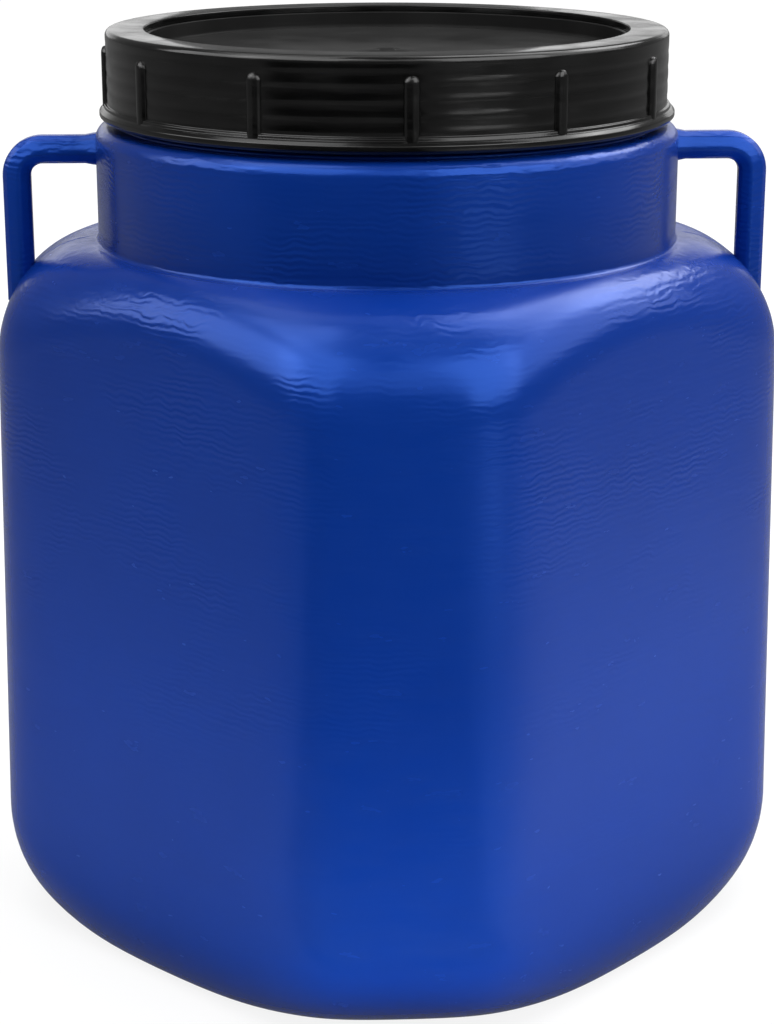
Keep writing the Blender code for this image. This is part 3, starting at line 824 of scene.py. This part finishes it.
class AddDrumBody(bpy.types.Operator):
    """Adds the blown body with its neck, its thread and the lines its mould left"""

    bl_idname = "drum.add_body"
    bl_label = "Body"

    def execute(self, context):
        scene = context.scene
        sizes, thread = scene.drum_body, scene.drum_thread
        blue = blue_polyethylene(scene.drum_finish)
        form = BodyForm(sizes)
        mesh = loft_round(form.outside() + form.inside(), sizes.columns)
        add_piece("drum_body", mesh, blue, "drum", BODY_NODES)
        start = sizes.rim_height - thread.margin - thread.neck_turns * thread.pitch
        ridge = thread_ridge(thread, sizes.neck_radius, True, start, thread.neck_turns)
        add_piece("neck_thread", ridge, blue, "drum")
        add_piece("mould_seams", self.seams(form), blue, "drum")
        return {"FINISHED"}

    def seams(self, form):
        """The parting line over the shoulders in the handles' plane, and the pinch-off across the base."""
        s = form.sizes
        lines = []
        for side in (0.0, math.pi):
            out_and_up = polar(1, side, 0.35)
            stations = [form.shoulder(part) for part in parts(40, 1)]
            stations += [form.wall(step / 12) for step in range(1, 12)]
            stations += [form.base(step / 20) for step in range(19)]
            places = [station(side) for station in stations]
            points = [polar(radius, side, height) for radius, height in places]
            path = []
            for index, point in enumerate(points):
                along = points[min(index + 1, len(points) - 1)] - points[max(index - 1, 0)]
                outward = along.cross(Vector((-math.sin(side), math.cos(side), 0))).normalized()
                away = outward if outward.dot(out_and_up) > 0 else -outward
                path.append((point - away * SEAM_SINK, away))
            lines.append(seam(path, Vector((0, 1, 0)), SEAM_HALF_WIDTH, SEAM_HEIGHT))
        pinch = []
        for step in range(PINCH_ROWS + 1):
            x = -PINCH_LENGTH / 2 + PINCH_LENGTH * step / PINCH_ROWS
            pinch.append((Vector((x, 0, s.recess_depth)), Vector((0, 0, -1))))
        lines.append(seam(pinch, Vector((0, 1, 0)), PINCH_HALF_WIDTH, PINCH_HEIGHT))
        return joined(lines)


class AddHandles(bpy.types.Operator):
    """Adds the two bar handles, each bent down from the collar into the shoulder"""

    bl_idname = "drum.add_handles"
    bl_label = "Handles"

    def execute(self, context):
        scene = context.scene
        sizes, body = scene.drum_handles, scene.drum_body
        blue = blue_polyethylene(scene.drum_finish)
        for name, side in (("right", 1), ("left", -1)):
            mesh = swept(self.sections(sizes, body, side))
            add_piece(f"handle_bar_{name}", mesh, blue, "drum", (f"handle_{name}",))
        return {"FINISHED"}

    def outline(self, sizes):
        """Section of the bar, as (across, deep) from its middle line, with its corners rounded off."""
        half = sizes.width / 2
        crease = half - sizes.crease * sizes.width
        # Corners of the upper half, as across, deep and rounding
        corners = [
            (half, sizes.outer_depth * 0.30, 0.0016),
            (half * 0.66, sizes.outer_depth * 0.56, 0.0020),
            (crease, sizes.depth / 2, 0.0030),
            (-half * 0.80, sizes.inner_depth * 0.62, 0.0016),
            (-half, sizes.inner_depth * 0.30, 0.0012),
        ]
        corners += [(across, -deep, rounding) for across, deep, rounding in reversed(corners)]
        return rounded(corners, 4)

    def sections(self, sizes, body, side):
        bar = sizes.top - sizes.width / 2
        reach = sizes.reach - sizes.width / 2
        stations = []
        inner_end = body.collar_radius - body.wall / 2
        bend_start = reach - sizes.bend
        for part in parts(BAR_ROWS):
            stations.append((inner_end + (bend_start - inner_end) * part, bar, 0.0))
        for part in parts(BEND_ROWS, 1):
            sine, cosine = quarter(part)
            height = bar - sizes.bend * (1 - cosine)
            stations.append((bend_start + sizes.bend * sine, height, math.pi / 2 * part))
        lower = body.shoulder_top - (body.corner_half - body.collar_radius) * HANDLE_DIP
        for step in range(1, LEG_ROWS + 1):
            height = bar - sizes.bend + (lower - bar + sizes.bend) * step / LEG_ROWS
            stations.append((reach, height, math.pi / 2))
        rings = []
        for x, z, turn in stations:
            outward = Vector((side * math.sin(turn), 0, math.cos(turn)))
            flare = 1 + FLARE * smooth_step((body.collar_radius + FLARE_REACH - x) / FLARE_REACH)
            middle = Vector((side * x, 0, z))
            ring = []
            for across, deep in self.outline(sizes):
                ring.append(middle + outward * across * flare + Vector((0, deep * flare, 0)))
            rings.append(ring)
        return rings


class AddScrewRing(bpy.types.Operator):
    """Adds the ribbed ring with its bead, its grip ribs and its inner thread"""

    bl_idname = "drum.add_screw_ring"
    bl_label = "Screw ring"

    def execute(self, context):
        scene = context.scene
        sizes, thread, body = scene.drum_ring, scene.drum_thread, scene.drum_body
        finish = scene.drum_finish
        black = black_plastic("ring_plastic", finish.black, finish.black_gloss, finish.black_rough)
        add_piece("ring_skirt", self.skirt(sizes, thread), black, "ring", ("screw_ring",))
        add_piece("ring_ribs", self.ribs(sizes), black, "ring")
        start = body.rim_height - thread.margin - (thread.neck_turns - 0.5) * thread.pitch
        ridge = thread_ridge(thread, sizes.bore, False, start, thread.ring_turns)
        add_piece("ring_thread", ridge, black, "ring")
        return {"FINISHED"}

    def skirt(self, sizes, thread):
        foot, top = RING_BOX[0].z, RING_BOX[1].z
        under = top - sizes.flange
        bead_top = foot + sizes.bead_height
        bead = sizes.radius + sizes.bead
        # Corners of the section, as radius, height and rounding
        corners = [
            (sizes.mouth, under, 0),
            (sizes.mouth, top, 0.0005),
            (sizes.radius, top, sizes.edge_round),
            (sizes.radius, bead_top, 0.0004),
            (sizes.radius + 0.0012, bead_top - 0.0002, 0.0005),
            (sizes.radius + 0.0014, bead_top - 0.0016, 0.0004),
            (bead - 0.0012, bead_top - 0.0021, 0.0006),
            (bead, bead_top - 0.0034, 0.0008),
            (bead, foot + 0.0016, 0.0012),
            (bead - 0.0014, foot, 0.0007),
            (sizes.bore + 0.0013, foot, 0.0004),
            (sizes.bore, foot + 0.0013, 0.0004),
            (sizes.bore, under, 0.0008),
        ]
        outline = rounded(corners)
        side, edge = sizes.radius - NEAR, top - sizes.edge_round + NEAR
        upper = next(index for index, point in enumerate(outline) if point.x > side and point.y < edge)
        outline[upper + 1:upper + 1] = divided(outline[upper], outline[upper + 1], SKIRT_ROWS)
        mesh = spun(outline, sizes.columns)
        self.sink_marks(mesh, sizes, thread, bead_top, top - sizes.edge_round)
        return mesh

    def sink_marks(self, mesh, sizes, thread, low, high):
        """Shallow hollows in the outside of the skirt, where the thread inside thickens it."""
        for corner in mesh.verts:
            x, y, z = corner.co
            radius = math.hypot(x, y)
            if radius < sizes.radius - ON_WALL or not low < z < high:
                continue
            turn = math.atan2(y, x)
            wave = 0.5 - 0.5 * math.cos(math.tau * (z - low) / thread.pitch - turn)
            fade = smooth_step((z - low) / SINK_FADE_LOW) * smooth_step((high - z) / SINK_FADE_HIGH)
            shrink = sizes.sink_depth * wave * wave * fade
            corner.co = polar(radius - shrink, turn, z)

    def ribs(self, sizes):
        foot = RING_BOX[0].z + sizes.bead_height - RIB_OVERLAP
        top = RING_BOX[1].z - sizes.rib_margin
        turns = [sizes.rib_phase + math.tau * index / sizes.ribs for index in range(sizes.ribs)]
        return joined([self.rib(sizes, turn, foot, top) for turn in turns])

    def rib(self, sizes, turn, foot, top):
        """A low bar, rounded across and domed at its upper end."""
        outward = Vector((math.cos(turn), math.sin(turn), 0))
        across = Vector((-math.sin(turn), math.cos(turn), 0))
        half = sizes.rib_width / 2
        levels = [foot + (top - half - foot) * step / RIB_ROWS for step in range(RIB_ROWS + 1)]
        levels += [top - half + half * sine for sine, cosine in quarters(RIB_ROWS, 1)]
        sections = []
        for height in levels:
            past = max(0.0, (height - top + half) / half)
            narrow = max(math.sqrt(max(1 - past * past, 0)), RIB_TIP)
            ring = []
            for step in range(RIB_POINTS):
                place = -1 + 2 * step / (RIB_POINTS - 1)
                rise = sizes.rib_height * (1 - abs(place) ** 2.6) ** 0.75 * narrow ** 0.7
                ring.append((place * half * narrow, rise))
            ring += [(half * narrow, -RIB_ROOT), (-half * narrow, -RIB_ROOT)]
            middle = Vector((0, 0, height))
            wall = sizes.radius - RIB_SINK
            sections.append([outward * (wall + rise) + across * aside + middle for aside, rise in ring])
        return swept(sections)


class AddInnerLid(bpy.types.Operator):
    """Adds the recessed lid with its flange and the skirt that locates it in the neck"""

    bl_idname = "drum.add_inner_lid"
    bl_label = "Inner lid"

    def execute(self, context):
        scene = context.scene
        sizes = scene.drum_lid
        end, top, outer = LID_BOX[0].z, LID_BOX[1].z, LID_BOX[1].x
        seat = top - sizes.flange
        floor = top - sizes.recess_depth
        # Corners of the section, as radius, height and rounding
        corners = [
            (0, floor + 0.0002, 0),
            (0.0035, floor + 0.0002, 0),
            (0.0042, floor - 0.0003, 0.0003),
            (0.0058, floor - 0.0003, 0.0003),
            (0.0068, floor, 0.0004),
            (sizes.recess_radius * 0.5, floor, 0),
            (sizes.recess_radius, floor, sizes.recess_round),
            (sizes.recess_radius, top, 0.0005),
            (outer, top, 0.0006),
            (outer, seat, 0.0006),
            (sizes.plug_radius, seat, 0.0005),
            (sizes.plug_radius, end, 0.0008),
            (sizes.plug_radius - sizes.wall, end, 0.0008),
            (sizes.plug_radius - sizes.wall, seat, 0.0006),
            (sizes.recess_radius + sizes.wall, seat, 0.0006),
            (sizes.recess_radius + sizes.wall, floor - sizes.floor, 0.0015),
            (sizes.recess_radius * 0.5, floor - sizes.floor, 0),
            (0, floor - sizes.floor, 0),
        ]
        outline = rounded(corners[1:-1], 4)
        outline = [Vector(corners[0][:2])] + outline + [Vector(corners[-1][:2])]
        mesh = spun(outline, scene.drum_ring.columns, on_axis=True)
        finish = scene.drum_finish
        black = black_plastic("lid_plastic", finish.lid_black, finish.lid_gloss, finish.lid_rough)
        add_piece("lid_disc", mesh, black, "lid", ("inner_lid",))
        return {"FINISHED"}


class AddGasket(bpy.types.Operator):
    """Adds the flat rubber ring on the rim of the neck"""

    bl_idname = "drum.add_gasket"
    bl_label = "Gasket"

    def execute(self, context):
        scene = context.scene
        sizes = scene.drum_gasket
        low, high, outer = GASKET_BOX[0].z, GASKET_BOX[1].z, GASKET_BOX[1].x
        inner = outer - sizes.width
        corners = [
            (inner, low, sizes.edge),
            (outer, low, sizes.edge),
            (outer, high, sizes.edge),
            (inner, high, sizes.edge),
        ]
        mesh = spun(rounded(corners, 4), scene.drum_ring.columns)
        rubber = gasket_rubber(scene.drum_finish)
        add_piece("gasket_ring", mesh, rubber, "lid", ("sealing_gasket",))
        return {"FINISHED"}


class AddStudio(bpy.types.Operator):
    """Adds the floor, the lamps, the world and the camera"""

    bl_idname = "drum.add_studio"
    bl_label = "Studio"

    def execute(self, context):
        scene = context.scene
        sizes = scene.drum_studio
        self.add_floor(sizes)
        self.add_world(scene)
        for values in LAMPS:
            self.add_lamp(*values)
        self.add_dark_reflection()
        self.add_camera(scene, sizes)
        scene.view_settings.view_transform = "Standard"
        return {"FINISHED"}

    def add_floor(self, sizes):
        mesh = bmesh.new()
        bmesh.ops.create_grid(mesh, x_segments=4, y_segments=4, size=sizes.floor_half)
        placed("studio_floor", mesh, studio_white())

    def add_dark_reflection(self):
        """A dark sheet on the floor in front, which only mirrored light meets: a painted dark reflection down
        the front of the body, the collar and the ring.
        """
        mesh = bmesh.new()
        bmesh.ops.create_grid(mesh, x_segments=1, y_segments=1, size=1)
        for corner in mesh.verts:
            edge = DARK_REFLECTION_FAR if corner.co.y < 0 else DARK_REFLECTION_NEAR
            corner.co = (*edge[corner.co.x > 0], DARK_REFLECTION_HEIGHT)
        material, nodes, shader = new_material("painted_dark_reflection")
        if nodes:
            sheet_mottle = nodes.noise(nodes.add("TexCoord").outputs["Object"], 400.0)
            # The sheet's dark tint is what the plastic mirrors: a painted dark reflection, not a real cloth
            tint = nodes.ramp(sheet_mottle, [(0.3, 0.006), (0.7, 0.012)])
            nodes.fill(shader, Base_Color=tint, Roughness=1.0, Specular_IOR_Level=0.0)
        reflection_sheet = placed("dark_reflection_sheet", mesh, material)
        # Seen by nothing but mirrored light, so the sheet is only a painted dark reflection in the plastic
        reflection_sheet.visible_camera = reflection_sheet.visible_diffuse = reflection_sheet.visible_shadow = reflection_sheet.visible_transmission = False

    def add_world(self, scene):
        world = bpy.data.worlds.new("studio_world")
        world.use_nodes = True
        scene.world = world
        world.node_tree.nodes["Background"].inputs["Color"].default_value = (SURROUND, SURROUND, SURROUND, 1)

    def add_lamp(self, name, distance, heading, height, aim, width, depth, radiance, gives, roll=0):
        """A soft panel, out of the camera's sight; angles in degrees, radiance in W/m2/sr."""
        lamp = bpy.data.lights.new(name, "AREA")
        lamp.shape = "RECTANGLE"
        lamp.size = width
        lamp.size_y = depth
        lamp.energy = math.pi * width * depth * radiance
        holder = bpy.data.objects.new(name, lamp)
        holder.location = polar(distance, math.radians(heading), height)
        facing = (Vector(aim) - holder.location).to_track_quat("-Z", "Y")
        holder.rotation_euler = facing.to_euler()
        if roll:
            holder.rotation_euler = (math.pi, 0, math.radians(roll))
        holder.visible_camera = False
        holder.visible_glossy = gives != MATT
        holder.visible_diffuse = gives != MIRRORED
        bpy.context.scene.collection.objects.link(holder)

    def add_camera(self, scene, sizes):
        data = bpy.data.cameras.new("photo_camera")
        data.sensor_width = SENSOR_WIDTH
        data.lens = data.sensor_width * sizes.focal_pixels / PHOTO_HEIGHT
        data.clip_end = 50
        camera = bpy.data.objects.new("photo_camera", data)
        camera.location = polar(sizes.camera_distance, sizes.camera_heading, sizes.camera_height)
        camera.rotation_euler = (math.pi / 2 - sizes.camera_pitch, 0, sizes.camera_heading + math.pi / 2)
        scene.collection.objects.link(camera)
        scene.camera = camera


OPERATORS = (AddDrumBody, AddHandles, AddGasket, AddInnerLid, AddScrewRing, AddStudio)


class DrumPanel(bpy.types.Panel):
    """Lists the drum's pieces and the values that shape them"""

    bl_idname = "VIEW3D_PT_drum"
    bl_label = "Drum"
    bl_space_type = "VIEW_3D"
    bl_region_type = "UI"
    bl_category = "Drum"

    def draw(self, context):
        layout = self.layout
        for operator in OPERATORS:
            layout.operator(operator.bl_idname)
        for group, kind in GROUPS.items():
            box = layout.box()
            box.label(text=group.replace("_", " ").capitalize())
            for name in kind.__annotations__:
                box.prop(getattr(context.scene, group), name)


CLASSES = (*GROUPS.values(), *OPERATORS, DrumPanel)


def register():
    for kind in CLASSES:
        bpy.utils.register_class(kind)
    for name, kind in GROUPS.items():
        setattr(bpy.types.Scene, name, PointerProperty(type=kind))


def unregister():
    for name in GROUPS:
        delattr(bpy.types.Scene, name)
    for kind in reversed(CLASSES):
        bpy.utils.unregister_class(kind)


def main():
    register()
    bpy.ops.drum.add_body()
    bpy.ops.drum.add_handles()
    bpy.ops.drum.add_gasket()
    bpy.ops.drum.add_inner_lid()
    bpy.ops.drum.add_screw_ring()
    bpy.ops.drum.add_studio()


if __name__ == "__main__":
    main()
